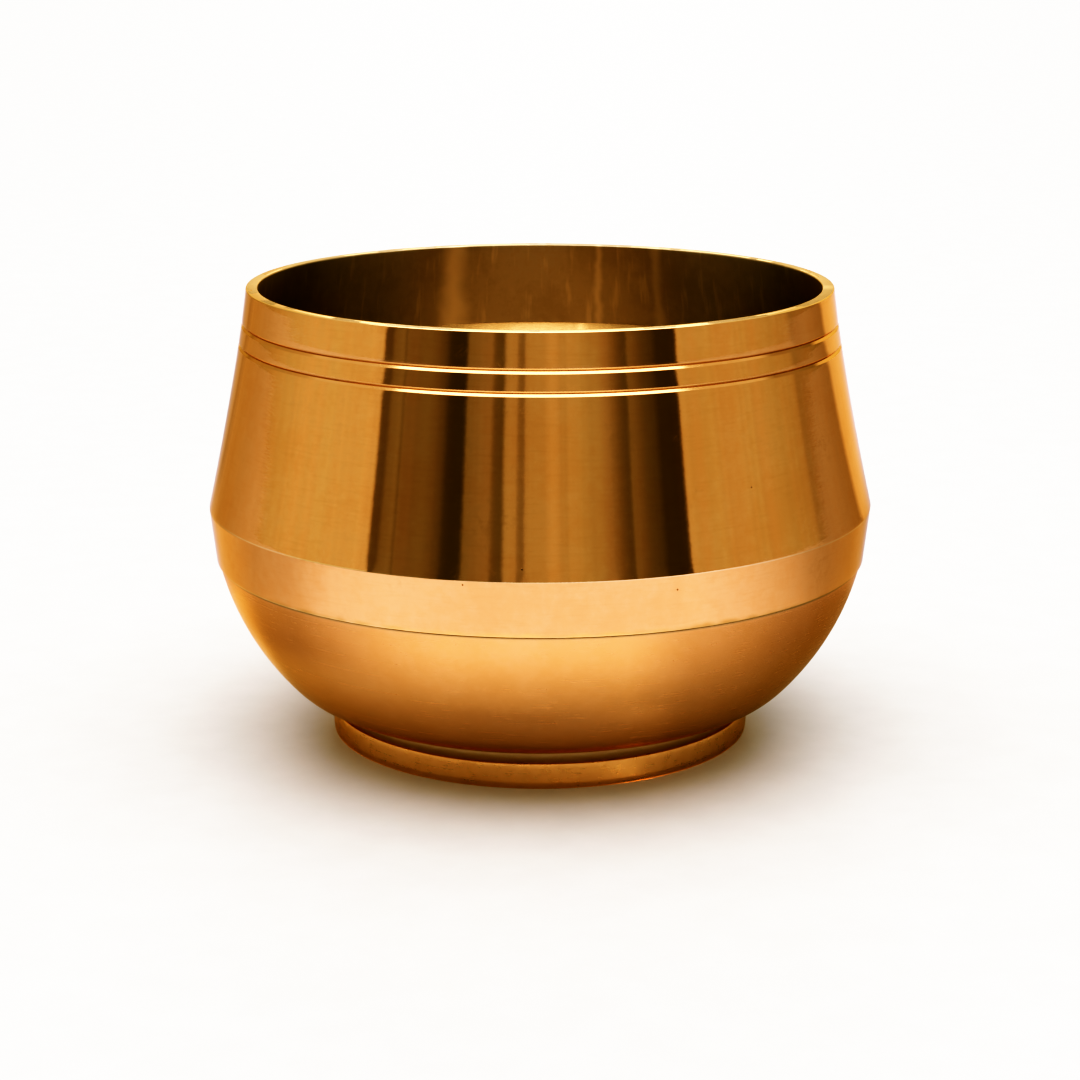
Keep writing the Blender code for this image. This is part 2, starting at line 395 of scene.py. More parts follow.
def bowl_outline():
    """From the middle of the bowl's floor out and up the inside, over the spigot, and down the outside."""
    inner = bowl_arcs(BOWL_WALL, SEAM_Z)[::-1]
    outer = bowl_arcs(0, SEAM_Z - SEAM_LINE)
    spigot = [
        (*inner[-1], 0),
        (INNER_BELLY_RADIUS, VEE_LOW_Z - JOINT_GAP, VEE_ROUNDING),
        (INNER_BELLY_RADIUS + VEE_DEPTH, BOWL_TOP_Z, HIDDEN_ROUNDING),
        (SPIGOT_RADIUS, BOWL_TOP_Z, SPIGOT_ROUNDING),
        (SPIGOT_RADIUS, outer[0][1], HIDDEN_ROUNDING),
        (*outer[0], BOWL_EDGE_ROUNDING),
        (*outer[1], 0),
    ]
    floor_z = UNDERSIDE_Z + BOWL_WALL
    return [(0, floor_z)] + inner[:-1] + rounded(spigot) + outer[2:] + [(0, UNDERSIDE_Z)]


def foot_outline():
    """Down the neck and the band to the base, then up the tapered bore."""
    corners = [
        ((NECK_RADIUS + FOOT_BORE_TOP) / 2, FOOT_TOP_Z, 0),
        (NECK_RADIUS, FOOT_TOP_Z, FOOT_TOP_ROUNDING),
        (NECK_RADIUS, FOOT_BAND_HEIGHT, NECK_ROUNDING),
        (FOOT_RADIUS, FOOT_BAND_HEIGHT, LEDGE_ROUNDING),
        (FOOT_RADIUS, FOOT_CHAMFER_HEIGHT, FOOT_CHAMFER_ROUNDING),
        (FOOT_RADIUS - FOOT_CHAMFER_DEPTH, 0, FOOT_BASE_ROUNDING),
        (FOOT_BORE_BASE, 0, FOOT_BASE_ROUNDING),
        (FOOT_BORE_TOP, FOOT_TOP_Z, FOOT_TOP_ROUNDING),
        ((NECK_RADIUS + FOOT_BORE_TOP) / 2, FOOT_TOP_Z, 0),
    ]
    return rounded(corners)[:-1]


def seam_fillet_outline():
    """The braze in the vee between the shell and the bowl, with a low crest on its free side."""
    middle = (VEE_LOW_Z + VEE_HIGH_Z) / 2
    apex = INNER_BELLY_RADIUS + VEE_DEPTH - JOINT_GAP
    flank = ((INNER_BELLY_RADIUS + apex) / 2, (VEE_HIGH_Z + middle) / 2, 0)
    corners = [
        flank,
        (apex, middle, HIDDEN_ROUNDING),
        (INNER_BELLY_RADIUS - SEAM_BRAZE_SINK, VEE_LOW_Z, HIDDEN_ROUNDING),
        (INNER_BELLY_RADIUS - SEAM_BRAZE_CREST, middle, SEAM_BRAZE_ROUNDING),
        (INNER_BELLY_RADIUS - SEAM_BRAZE_SINK, VEE_HIGH_Z, HIDDEN_ROUNDING),
        flank,
    ]
    return rounded(corners)[:-1]


def foot_fillet_outline():
    """The hollow braze fillet between the foot's bore and the bowl's underside."""
    taper = (FOOT_BORE_BASE - FOOT_BORE_TOP) / FOOT_TOP_Z
    outer_top = (FOOT_BORE_TOP - JOINT_GAP, FOOT_TOP_Z)
    outer_base = (outer_top[0] + taper * FOOT_FILLET_LEG, FOOT_TOP_Z - FOOT_FILLET_LEG)
    inner_top = (outer_top[0] - FOOT_FILLET_LEG, FOOT_TOP_Z)
    hollow = (
        (inner_top[0] + outer_base[0]) / 2 + FOOT_FILLET_HOLLOW,
        (inner_top[1] + outer_base[1]) / 2 + FOOT_FILLET_HOLLOW,
    )
    start = (outer_top[0] - FOOT_FILLET_START, FOOT_TOP_Z, 0)
    corners = [
        start,
        (*outer_top, HIDDEN_ROUNDING),
        (*outer_base, HIDDEN_ROUNDING),
        (*hollow, FOOT_FILLET_ROUNDING),
        (*inner_top, HIDDEN_ROUNDING),
        start,
    ]
    return rounded(corners)[:-1]


# Turned pieces

def turned(name, outline, is_ring=True):
    """The outline turned about the Z axis by a Screw modifier, applied."""
    outline = with_short_spans(outline, is_ring)
    edges = [(i, i + 1) for i in range(len(outline) - 1)]
    if is_ring:
        edges.append((len(outline) - 1, 0))
    profile = bpy.data.meshes.new(name + "_outline")
    profile.from_pydata([(r, 0, z) for r, z in outline], edges, [])
    piece = bpy.data.objects.new(name, profile)
    bpy.context.scene.collection.objects.link(piece)
    screw = piece.modifiers.new("turn", "SCREW")
    screw.axis = "Z"
    screw.steps = TURN_STEPS
    screw.render_steps = TURN_STEPS
    screw.use_merge_vertices = True
    screw.merge_threshold = MERGE_DISTANCE
    graph = bpy.context.evaluated_depsgraph_get()
    mesh = bpy.data.meshes.new_from_object(piece.evaluated_get(graph))
    piece.modifiers.clear()
    piece.data = mesh
    mesh.name = name
    bpy.data.meshes.remove(profile)
    return piece


def finish_surface(piece):
    piece.data.shade_smooth()
    piece.data.set_sharp_from_angle(angle=SHARP_ANGLE)


def bump_at(value, band):
    """1 at the band's middle and 0 a reach away, as a smooth hill."""
    middle, reach = band
    t = np.clip(np.abs(value - middle) / reach, 0, 1)
    return 1 - t * t * (3 - 2 * t)


def noise_on(points, waves, seed):
    """Smooth noise at each point, with this many waves in a metre, roughly -1 to 1."""
    shift = Vector([seed * step for step in NOISE_SHIFT])
    return np.array([noise.noise(Vector(p) * waves + shift) for p in points])


def dents(points, kind, seed, bias=0.0):
    """Noise of a kind (waves, depth) at each point, in metres. A bias makes hollows of more of it."""
    waves, depth = kind
    return (noise_on(points, waves, seed) - bias) * depth


def wear(piece, change):
    """Moves a piece's points by change(points, radii), which returns radial and vertical moves."""
    mesh = piece.data
    points = np.empty(len(mesh.vertices) * 3)
    mesh.vertices.foreach_get("co", points)
    points = points.reshape(-1, 3)
    radii = np.hypot(points[:, 0], points[:, 1])
    outward, upward = change(points, radii)
    spoke = points[:, :2] / np.maximum(radii, TINY)[:, None]
    points[:, :2] += spoke * outward[:, None]
    points[:, 2] += upward
    mesh.vertices.foreach_set("co", points.ravel())
    mesh.update()


def wear_shell(points, radii):
    """A tilted shoulder edge, shallow dents in the wall, and an uneven rim and lap."""
    z = points[:, 2]
    middle_of_wall = RIM_RADIUS - RIM_WALL + (HEIGHT - z) * WALL_FLARE
    outside = (radii > middle_of_wall).astype(float)
    tilt = bump_at(z, SHOULDER_TILT_BAND) * outside * (z > SEAM_Z + LAP_FREE_HEIGHT)
    upward = tilt * points[:, 0] / BELLY_RADIUS * SHOULDER_TILT
    wall = dents(points, LONG_DENTS, 1) + dents(points * SHORT_DENT_STRETCH, SHORT_DENTS, 2)
    outward = wall * bump_at(z, WALL_BAND)
    outward += dents(points, RIM_NICKS, 3) * bump_at(z, RIM_NICK_BAND)
    outward += dents(points, SHOULDER_NICKS, 4) * bump_at(z, SHOULDER_BAND) * outside
    outward += dents(points, LAP_NICKS, 5) * bump_at(z, LAP_BAND) * outside
    outward -= POLISHED_OFF * outside
    upward += np.minimum(dents(points, RIM_DIPS, 6, RIM_DIP_BIAS) * bump_at(z, RIM_DIP_BAND), 0)
    return outward, upward


def wear_bowl(points, radii):
    """Shallow dents round the bowl's side."""
    hollows = dents(points, BOWL_LONG_DENTS, 7) + dents(points, BOWL_SHORT_DENTS, 8)
    return hollows * bump_at(points[:, 2], BOWL_BAND), np.zeros(len(points))


def wear_foot(points, radii):
    """Small nicks along the foot's upper edge."""
    edge = bump_at(points[:, 2], FOOT_EDGE_BAND) * (radii > NECK_RADIUS + FOOT_EDGE_WIDTH)
    return edge * dents(points, FOOT_NICKS, 9, FOOT_NICK_BIAS), np.zeros(len(points))


def wear_braze(points, radii):
    """The filler's free face is left lumpy, as it ran."""
    lumps = dents(points, BRAZE_LUMPS, 10) + dents(points, BRAZE_GRAINS, 11)
    free = (radii < np.median(radii)).astype(float)
    return np.minimum(lumps, BRAZE_LUMP_LIMIT) * free, np.zeros(len(points))


# Materials

class Graph:
    """A node tree with short calls. An input may be a number, a tuple or another node's output."""

    def __init__(self, tree):
        self.tree = tree
        tree.nodes.clear()

    def add(self, kind, inputs=None, **settings):
        node = self.tree.nodes.new(kind)
        for key, value in settings.items():
            setattr(node, key, value)
        for key, value in (inputs or {}).items():
            self.feed(node.inputs[key], value)
        return node

    def feed(self, socket, value):
        if isinstance(value, bpy.types.NodeSocket):
            self.tree.links.new(value, socket)
        else:
            socket.default_value = value

    def math(self, operation, a, b=0.0):
        return self.add("ShaderNodeMath", {0: a, 1: b}, operation=operation).outputs[0]

    def add_up(self, *terms):
        total = terms[0]
        for term in terms[1:]:
            total = self.math("ADD", total, term)
        return total

    def times(self, *factors):
        product = factors[0]
        for factor in factors[1:]:
            product = self.math("MULTIPLY", product, factor)
        return product

    def minus(self, a, b):
        return self.math("SUBTRACT", a, b)

    def away(self, a, b):
        """How far a is from b."""
        return self.math("ABSOLUTE", self.minus(a, b))

    def vector(self, operation, a, b=(0, 0, 0)):
        return self.add("ShaderNodeVectorMath", {0: a, 1: b}, operation=operation).outputs[0]

    def parts(self, vector):
        return self.add("ShaderNodeSeparateXYZ", {0: vector}).outputs

    def noise(self, vector, scale=1.0, detail=2.0, roughness=0.5):
        inputs = {"Vector": vector, "Scale": scale, "Detail": detail, "Roughness": roughness}
        return self.add("ShaderNodeTexNoise", inputs).outputs["Fac"]

    def ramp(self, value, low, high, to_low=0.0, to_high=1.0):
        """Value carried smoothly from low..high to to_low..to_high."""
        inputs = {"Value": value, "From Min": low, "From Max": high, "To Min": to_low, "To Max": to_high}
        node = self.add("ShaderNodeMapRange", inputs, interpolation_type="SMOOTHSTEP")
        return node.outputs["Result"]

    def mix(self, amount, a, b):
        node = self.add("ShaderNodeMix", data_type="RGBA")
        self.feed(node.inputs["Factor"], amount)
        self.feed(node.inputs["A"], a)
        self.feed(node.inputs["B"], b)
        return node.outputs["Result"]

    def bump(self, height, distance, strength=1.0, normal=None):
        inputs = {"Height": height, "Distance": distance, "Strength": strength}
        if normal is not None:
            inputs["Normal"] = normal
        return self.add("ShaderNodeBump", inputs).outputs["Normal"]

    def light_path(self, name):
        return self.add("ShaderNodeLightPath").outputs[name]


class Places(NamedTuple):
    """Where a point is on a piece, in millimetres. Rings is a vector that stays the same round a ring."""
    position: bpy.types.NodeSocket
    radius: bpy.types.NodeSocket
    z: bpy.types.NodeSocket
    rings: bpy.types.NodeSocket


class Finish(NamedTuple):
    """How a turned brass surface is finished. Depths are in millimetres.

    Stretch is how far the shine is drawn out across the tool lines, 0 to 1. Rings are the tool lines,
    ripples soft unevenness, chatter long shallow waves round the wall with dull drag lines, and flutes
    upright hollows that polishing leaves. Brushed is how much rougher the metal is above the line where
    the polishing inside the pot ends. Painted shade is a function of (graph, height) that gives the
    strength of the painted shade; a finish with it also gets painted highlight lines on its edges.
    """
    roughness: float
    stretch: float
    stains: float
    wear: float
    light: tuple = BRASS_LIGHT
    deep: tuple = BRASS_DEEP
    rings: float = 0.0004
    ripples: float = 0.0022
    chatter: float = 0.0
    flutes: float = 0.0
    brushed: float = 0.0
    scratched: float = 1.0
    mottled: float = 0.6
    ring_unevenness: float = 0.5
    dull_neck_painted_light: float = 0.0
    painted_shade: Optional[Callable] = None
    painted_shade_colour: tuple = PAINTED_SHADE_BROWN


def surface_places(g):
    metres = g.add("ShaderNodeTexCoord").outputs["Object"]
    position = g.vector("MULTIPLY", metres, (1 / MM,) * 3)
    x, y, z = g.parts(position)
    radius = g.math("SQRT", g.add_up(g.times(x, x), g.times(y, y)))
    drift = g.times(g.add_up(x, g.times(y, RING_DRIFT_SKEW)), RING_DRIFT)
    rings = g.add("ShaderNodeCombineXYZ", {0: radius, 1: z, 2: drift}).outputs[0]
    return Places(position, radius, z, rings)


def scratches(g, places, lean, seed):
    """Fine broken scratches that climb the wall with this lean; 1 on a scratch."""
    turn = {"Vector": places.position, "Angle": g.times(places.z, lean)}
    leaning = g.add("ShaderNodeVectorRotate", turn, rotation_type="Z_AXIS").outputs[0]
    stretched = g.vector("MULTIPLY", leaning, SCRATCH_STRETCH)
    lines = g.noise(g.vector("ADD", stretched, (seed,) * 3), *SCRATCH_LINES)
    thin = g.ramp(g.away(lines, 0.5), 0.0, SCRATCH_WIDTH, 1.0, 0.0)
    shifted = g.vector("ADD", places.position, (seed * SCRATCH_PATCH_SHIFT, 0, 0))
    broken = g.ramp(g.noise(shifted, *SCRATCH_PATCHES), *SCRATCH_PATCH_RANGE)
    return g.times(thin, broken)


def pits(g, position, spacing, size, share):
    """Small pits about this far apart; a share of the cells hold one. 1 in a pit."""
    cells = g.add("ShaderNodeTexVoronoi", {"Vector": position, "Scale": 1 / spacing, "Randomness": 1.0})
    dot = g.ramp(cells.outputs["Distance"], size / spacing * PIT_SOFTNESS, size / spacing, 1.0, 0.0)
    chance = g.add("ShaderNodeSeparateColor", {0: cells.outputs["Color"]}).outputs[0]
    return g.times(dot, g.math("LESS_THAN", chance, share))


def painted_shade_in_grooves(g, z):
    """Painted shade on the upper flank of each groove."""
    marks = []
    for height in GROOVE_HEIGHTS:
        above = g.minus(z, height / MM)
        marks.append(g.times(g.ramp(above, *GROOVE_PAINTED_SHADE_START), g.ramp(above, *GROOVE_PAINTED_SHADE_END)))
    return g.math("MAXIMUM", *marks)


def from_height(g, z, height, band):
    """A ramp over the heights in a band, which is given in millimetres from a height in metres."""
    low, high, *strengths = band
    return g.ramp(z, height / MM + low, height / MM + high, *strengths)


def painted_shade_at_foot(g, z):
    """Painted shade at the top of the neck, under the bowl."""
    return from_height(g, z, FOOT_TOP_Z, FOOT_PAINTED_SHADE)


def painted_shade_under_bowl(g, z):
    """Painted shade: the bowl darkens towards the foot, with a thin painted shadow line under the belt."""
    under = from_height(g, z, UNDERSIDE_Z, UNDER_PAINTED_SHADE)
    line = from_height(g, z, SEAM_Z, LAP_PAINTED_SHADOW)
    return g.math("MAXIMUM", under, line)


def painted_edge_highlights(g, z):
    """Painted highlight lines along the lap's edge, the shoulder and the rim."""
    lap, shoulder = (g.ramp(g.away(z, height / MM), *EDGE_HIGHLIGHT_BAND) for height in (LAP_EDGE_Z, SHOULDER_Z))
    rim = from_height(g, z, HEIGHT, RIM_HIGHLIGHT_BAND)
    return g.math("MAXIMUM", g.math("MAXIMUM", lap, shoulder), rim)


def above_polish_line(g, z, *strengths):
    return from_height(g, z, POLISH_LINE_Z, (-POLISH_LINE_FADE, POLISH_LINE_FADE, *strengths))


def streaks_and_painted_highlights(g, places):
    """Bright upright streaks inside the pot: faint random ones in the metal, and painted highlight
    streaks, each at an azimuth measured from the back in degrees.
    """
    x, y, _ = g.parts(places.position)
    wobble = g.times(g.minus(g.noise(places.position, *STREAK_WOBBLE_WAVES), 0.5), STREAK_WOBBLE)
    azimuth = g.add_up(g.math("DEGREES", g.math("ARCTAN2", x, y)), wobble)
    upright = g.vector("MULTIPLY", places.position, FAINT_STREAK_STRETCH)
    total = g.ramp(g.noise(upright, *FAINT_STREAKS), *FAINT_STREAK_RANGE)
    for middle, width, strength in INSIDE_HIGHLIGHT_STREAKS:
        streak = g.ramp(g.away(azimuth, middle), 0.0, width, strength, 0.0)
        total = g.math("MAXIMUM", total, streak)
    return g.times(total, g.ramp(places.radius, *STREAK_START))


def neck_of_foot(g, places, strength):
    """The neck between the bowl and the foot's band, out to just inside the band."""
    inner, outer = NECK_RADIUS / MM + NECK_INNER, FOOT_RADIUS / MM - NECK_OUTER
    inward = g.ramp(places.radius, inner, outer, strength, 0.0)
    return g.times(inward, from_height(g, places.z, FOOT_BAND_HEIGHT, (-NECK_FADE, 0.0)))


class Marks(NamedTuple):
    """What marks a surface: mottling, stains, scratches, pits, the dull neck with its painted light, and
    the tool lines.
    """
    clouds: bpy.types.NodeSocket
    mottle: bpy.types.NodeSocket
    stain: bpy.types.NodeSocket
    scratch: bpy.types.NodeSocket
    pitted: bpy.types.NodeSocket
    neck: object
    fine_rings: bpy.types.NodeSocket


def surface_marks(g, finish, places):
    clouds = g.noise(places.position, *CLOUDS)
    mottle = g.noise(places.position, *MOTTLE)
    stain = g.times(g.ramp(clouds, *STAIN_CLOUDS), g.ramp(mottle, *STAIN_MOTTLE))
    scratch = g.math("MAXIMUM", *(scratches(g, places, *kind) for kind in SCRATCHES))
    pitted = g.math("MAXIMUM", *(pits(g, places.position, *kind) for kind in (SMALL_PITS, LARGE_PITS)))
    return Marks(
        clouds=clouds,
        mottle=mottle,
        stain=stain,
        scratch=g.times(scratch, finish.scratched),
        pitted=g.times(pitted, finish.wear),
        neck=neck_of_foot(g, places, finish.dull_neck_painted_light) if finish.dull_neck_painted_light > 0 else 0.0,
        fine_rings=g.noise(places.rings, *FINE_RINGS),
    )


def brass_colour(g, finish, places, marks):
    hue = g.add_up(g.times(marks.clouds, CLOUD_SHARE), g.times(marks.mottle, MOTTLE_SHARE))
    colour = g.mix(g.ramp(hue, *HUE_RANGE), finish.deep, finish.light)
    colour = g.mix(g.times(marks.stain, finish.stains), colour, BRASS_STAIN)
    if finish.chatter > 0:
        drag = g.noise(g.vector("MULTIPLY", places.position, DRAG_STRETCH), *DRAG_LINES)
        colour = g.mix(g.ramp(drag, *DRAG_RANGE), colour, BRASS_DRAG)
    colour = g.mix(g.times(marks.pitted, PIT_DARKNESS), colour, BRASS_PIT)
    if finish.brushed > 0:
        # Painted highlight streaks inside, over faint random streaks.
        colour = g.mix(streaks_and_painted_highlights(g, places), colour, INSIDE_STREAK_HIGHLIGHT)
        # A bright band inside, below the polish line: a painted highlight.
        low, high = (height / MM for height in LENS_HIGHLIGHT_BASE_Z)
        lens = g.times(g.ramp(places.z, low, high), above_polish_line(g, places.z, 1.0, 0.0))
        colour = g.mix(lens, colour, INSIDE_LENS_HIGHLIGHT)
    # The neck is painted paler: painted light that lifts the shade under the bowl.
    if finish.dull_neck_painted_light > 0:
        colour = g.mix(marks.neck, colour, NECK_PAINTED_LIGHT)
    if finish.painted_shade is not None:
        # Painted highlight lines on the edges, then painted shade.
        colour = g.mix(g.times(painted_edge_highlights(g, places.z), EDGE_HIGHLIGHT_STRENGTH), colour, BRASS_EDGE_HIGHLIGHT)
        colour = g.mix(finish.painted_shade(g, places.z), colour, finish.painted_shade_colour)
    return colour


def brass_roughness(g, finish, places, marks):
    base = finish.roughness
    total = g.add_up(
        base,
        g.times(g.minus(marks.fine_rings, 0.5), base * finish.ring_unevenness),
        g.times(g.minus(marks.mottle, 0.5), base * finish.mottled),
        g.times(marks.stain, finish.stains * STAIN_DULLING),
        g.times(marks.scratch, SCRATCH_DULLING * finish.wear),
        g.times(marks.neck, NECK_DULLING),
    )
    if finish.brushed > 0:
        total = g.add_up(total, g.times(above_polish_line(g, places.z), finish.brushed))
    return g.math("MAXIMUM", total, LOWEST_ROUGHNESS)


def brass_normal(g, finish, places, marks):
    """The fine relief: tool lines, then waves from long to short, then scratches and pits."""
    def waves(stretch, kind, depth, normal):
        height = g.noise(g.vector("MULTIPLY", places.position, stretch), *kind)
        return g.bump(height, depth * MM, 1.0, normal)

    broad_rings = g.noise(places.rings, *BROAD_RINGS)
    ring_height = g.add_up(g.times(marks.fine_rings, RING_SHARE), g.times(broad_rings, RING_SHARE))
    normal = g.bump(ring_height, finish.rings * MM)
    normal = waves(RIPPLE_STRETCH, RIPPLE_WAVES, finish.ripples, normal)
    if finish.chatter > 0:
        normal = waves(CHATTER_STRETCH, CHATTER_WAVES, finish.chatter, normal)
    if finish.flutes > 0:
        normal = waves(FLUTE_STRETCH, FLUTE_WAVES, finish.flutes, normal)
    sunk = g.minus(0.0, g.add_up(g.times(marks.scratch, SCRATCH_DEPTH_SHARE), marks.pitted))
    return g.bump(sunk, MARK_DEPTH * MM, finish.wear, normal)


def brass(name, finish):
    material = bpy.data.materials.new(name)
    material.use_nodes = True
    g = Graph(material.node_tree)
    places = surface_places(g)
    marks = surface_marks(g, finish, places)
    shader = g.add("ShaderNodeBsdfPrincipled", {
        "Base Color": brass_colour(g, finish, places, marks),
        "Metallic": 1.0,
        "Specular Tint": EDGE_TINT,
        "Roughness": brass_roughness(g, finish, places, marks),
        "Anisotropic": finish.stretch,
        "Anisotropic Rotation": ANISOTROPIC_TURN,
        "Tangent": g.add("ShaderNodeTangent", direction_type="RADIAL", axis="Z").outputs[0],
        "Normal": brass_normal(g, finish, places, marks),
    })
    g.feed(g.add("ShaderNodeOutputMaterial").inputs["Surface"], shader.outputs[0])
    return material


POLISHED = Finish(0.07, 0.75, 0.12, 1.0, chatter=0.010, painted_shade=painted_shade_in_grooves)
INSIDE = Finish(0.07, 0.85, 0.15, 0.5, light=INSIDE_LIGHT, deep=INSIDE_DEEP, flutes=0.012, brushed=0.30)
SATIN = Finish(
    0.25, 0.35, 0.0, 0.10, light=SATIN_LIGHT, deep=SATIN_DEEP, ripples=0.0008, scratched=0.0, mottled=0.2,
    painted_shade=painted_shade_under_bowl, painted_shade_colour=UNDER_SHADE_COLOUR,
)
TURNED = Finish(
    0.30, 0.5, 0.03, 0.15, light=FOOT_LIGHT, deep=FOOT_DEEP, rings=0.0006, scratched=0.3, dull_neck_painted_light=0.85,
    painted_shade=painted_shade_at_foot,
)
FILLER = Finish(0.42, 0.1, 0.8, 0.7, light=BRAZE_PALE, deep=BRAZE_DULL)


def faces_in(centre, normal):
    return normal.x * centre.x + normal.y * centre.y < 0


def faces_up_or_in(centre, normal):
    return faces_in(centre, normal) or normal.z > 0.5


def add_materials(piece, outer, inner=None, is_inner=None):
    """Gives a piece its outer brass, and its inner brass on the faces that is_inner picks."""
    piece.data.materials.clear()
    piece.data.materials.append(outer)
    if inner is None:
        return
    piece.data.materials.append(inner)
    for face in piece.data.polygons:
        if is_inner(face.center, face.normal):
            face.material_index = 1


def make_pot():
    polished = brass("polished_brass", POLISHED)
    inside = brass("inside_brass", INSIDE)
    satin = brass("satin_brass", SATIN)
    turned_metal = brass("turned_brass", TURNED)
    filler = brass("braze_metal", FILLER)

    shell = turned("polished_shell", shell_outline())
    wear(shell, wear_shell)
    add_materials(shell, polished, inside, faces_in)
    bowl = turned("satin_bowl", bowl_outline(), is_ring=False)
    wear(bowl, wear_bowl)
    add_materials(bowl, satin, inside, faces_up_or_in)
    foot = turned("turned_foot", foot_outline())
    wear(foot, wear_foot)
    add_materials(foot, turned_metal)
    seam = turned("seam_fillet", seam_fillet_outline())
    wear(seam, wear_braze)
    add_materials(seam, filler)
    fillet = turned("foot_fillet", foot_fillet_outline())
    wear(fillet, wear_braze)
    add_materials(fillet, filler)

    stands_for = [
        (shell, "upper_shell", "polished_brass"),
        (bowl, "lower_bowl", "satin_brass"),
        (foot, "foot_ring", "turned_brass"),
        (seam, "seam_braze", "braze_metal"),
        (fillet, "foot_braze", "braze_metal"),
    ]
    for piece, node, slot in stands_for:
        finish_surface(piece)
        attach(piece, "root")
        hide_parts(node)


# Camera

def make_camera():
    camera = bpy.data.objects.new("camera", bpy.data.cameras.new("camera"))
    camera.data.lens = CAMERA_LENS
    camera.data.sensor_width = SENSOR_WIDTH
    camera.data.clip_start = CAMERA_NEAREST
    camera.location = (0, -CAMERA_DISTANCE, CAMERA_HEIGHT)
    camera.rotation_euler = (math.pi / 2 + CAMERA_PITCH, 0, 0)
    bpy.context.scene.collection.objects.link(camera)
    bpy.context.scene.camera = camera


# Surroundings. A list goes round the pot: (azimuth from the camera's side in degrees, brightness).

# What stands round the pot on its left and right. A ramp holds at most 32 places.
WALLS_LEFT = [
    (-180, 0.72), (-164, 0.68), (-156, 0.46), (-148, 0.44), (-146, 0.32), (-141, 0.42), (-133, 0.385),
    (-126, 0.385), (-114, 0.46), (-94, 0.55), (-60.0, 0.55), (-59.4, 0.14), (-56.6, 0.14), (-55.6, 0.205),
    (-51.5, 0.25), (-50.9, 0.15), (-50.2, 0.215), (-40, 0.205), (-35, 0.15), (-32.8, 0.08), (-26.9, 0.072),
    (-26.3, 0.23), (-17.3, 0.285), (-16.6, 0.19), (-12.9, 0.14), (-12.4, 0.37), (-8.1, 0.38), (-7.6, 0.24),
    (-5.7, 0.225), (-5.2, 0.39), (0, 0.40),
]
WALLS_RIGHT = [
    (0, 0.40), (2, 0.41), (3.2, 0.45), (6.2, 0.45), (7.4, 0.405), (9, 0.40), (10.5, 0.43), (14.2, 0.42),
    (16, 0.38), (19.5, 0.37), (22, 0.345), (25, 0.27), (28.6, 0.175), (30.8, 0.14), (31.6, 0.14),
    (32.4, 0.22), (34.2, 0.21), (38, 0.143), (41.7, 0.118), (43.4, 0.08), (51.2, 0.074), (52, 0.47),
    (73, 0.47), (85, 0.46), (94, 0.42), (106.5, 0.38), (109, 0.295), (119.5, 0.315), (133, 0.235),
    (136.5, 0.62), (145, 0.74), (180, 0.72),
]
# Thin upright streaks and slow changes of hue across the walls, in waves to a degree.
STREAK_WAVES = (0.35, 3.0, 0.7)
STREAK_RANGE = (0.30, 0.70, 0.955, 1.045)
HUE_WAVES = (0.09, 1.0)
HUE_CHANGE = (0.40, 0.60)
WALL_BROWN = (1.01, 0.985, 0.965, 1.0)
WALL_OLIVE = (0.99, 1.02, 1.0, 1.0)
WALL_TINT = (1.0, 0.97, 0.92)

# Painted light and shade on the floor, seen only in the pot's reflections: close to the pot, where the
# bowl shows it, farther out, where the belt shows it, and as the foot shows it.
BOWL_POOL = [
    (-180, 0.42), (-145, 0.60), (-124, 0.80), (-110, 0.74), (-95, 0.31), (-73, 0.30), (-55, 0.53),
    (-39, 0.83), (-24, 1.0), (22, 1.0), (39, 0.61), (55, 0.455), (73, 0.26), (92, 0.16), (113, 0.12),
    (124, 0.15), (180, 0.42),
]
BELT_POOL = [
    (-180, 0.60), (-128, 0.76), (-117, 0.65), (-97, 0.49), (-78, 0.57), (-60, 0.90), (-42, 1.01),
    (42, 1.0), (60, 0.82), (78, 0.59), (88, 0.44), (97, 0.375), (117, 0.43), (128, 0.54), (180, 0.60),
]
FOOT_POOL = [
    (-180, 0.50), (-127, 0.56), (-111, 0.66), (-95, 0.73), (-79, 0.88), (-63, 1.03), (-47, 0.94),
    (-17, 0.64), (-2, 0.68), (13, 0.84), (20, 1.2), (28, 2.2), (36, 1.4), (44, 1.12), (59, 0.94),
    (75, 0.76), (90, 0.61), (106, 0.52), (122, 0.42), (180, 0.50),
]
# Ramps over the distance from the axis in metres: (from, to, value before, value after).
POOL_RISE = (0.080, 0.140, 0.66, 1.12)
POOL_LEFT_SPREAD = (0.085, 0.120, 0.10, 0.95)
POOL_RIGHT_SPREAD = (0.065, 0.125, 0.55, 0.95)
POOL_BLEND = (-0.03, 0.03)
BELT_START = (0.155, 0.190)
BELT_TINT = (1.0, 0.985, 1.22, 1.0)
FOOT_POOL_RISE = (0.062, 0.086, 2.2, 0.70)
FOOT_POOL_END = (0.084, 0.091, 1.0, 0.0)
# The length of a ray over its run across the floor, below which it comes from the low foot.
FOOT_VIEW = (1.08, 1.28, 1.0, 0.0)
SIDE_GLINT = (-0.096, 0.030, 0.0)
SIDE_GLINT_REACH = (0.0, 0.035, 0.40, 0.0)
SHALLOW_REACH = (0.10, 0.24, 1.0, 0.0)
SHALLOW_POWER = 4.0
COOL_REACH = (0.07, 0.13, 1.0, 0.0)
COOL_TINT = (0.95, 1.10, 1.15, 1.0)
FAR_FLOOR = (0.30, 0.60)
FAR_FLOOR_GAIN = 1.15

FLOOR_HALF_SIZE = 8
FLOOR_GRAIN = (60, 5.0, 0.6)
FLOOR_GRAIN_RANGE = (0.3, 0.7)
FLOOR_DIM = (0.80, 0.795, 0.785, 1)
FLOOR_PALE = (0.83, 0.825, 0.815, 1)
FLOOR_ROUGHNESS = 0.55
NO_TINT = (1, 1, 1, 1)

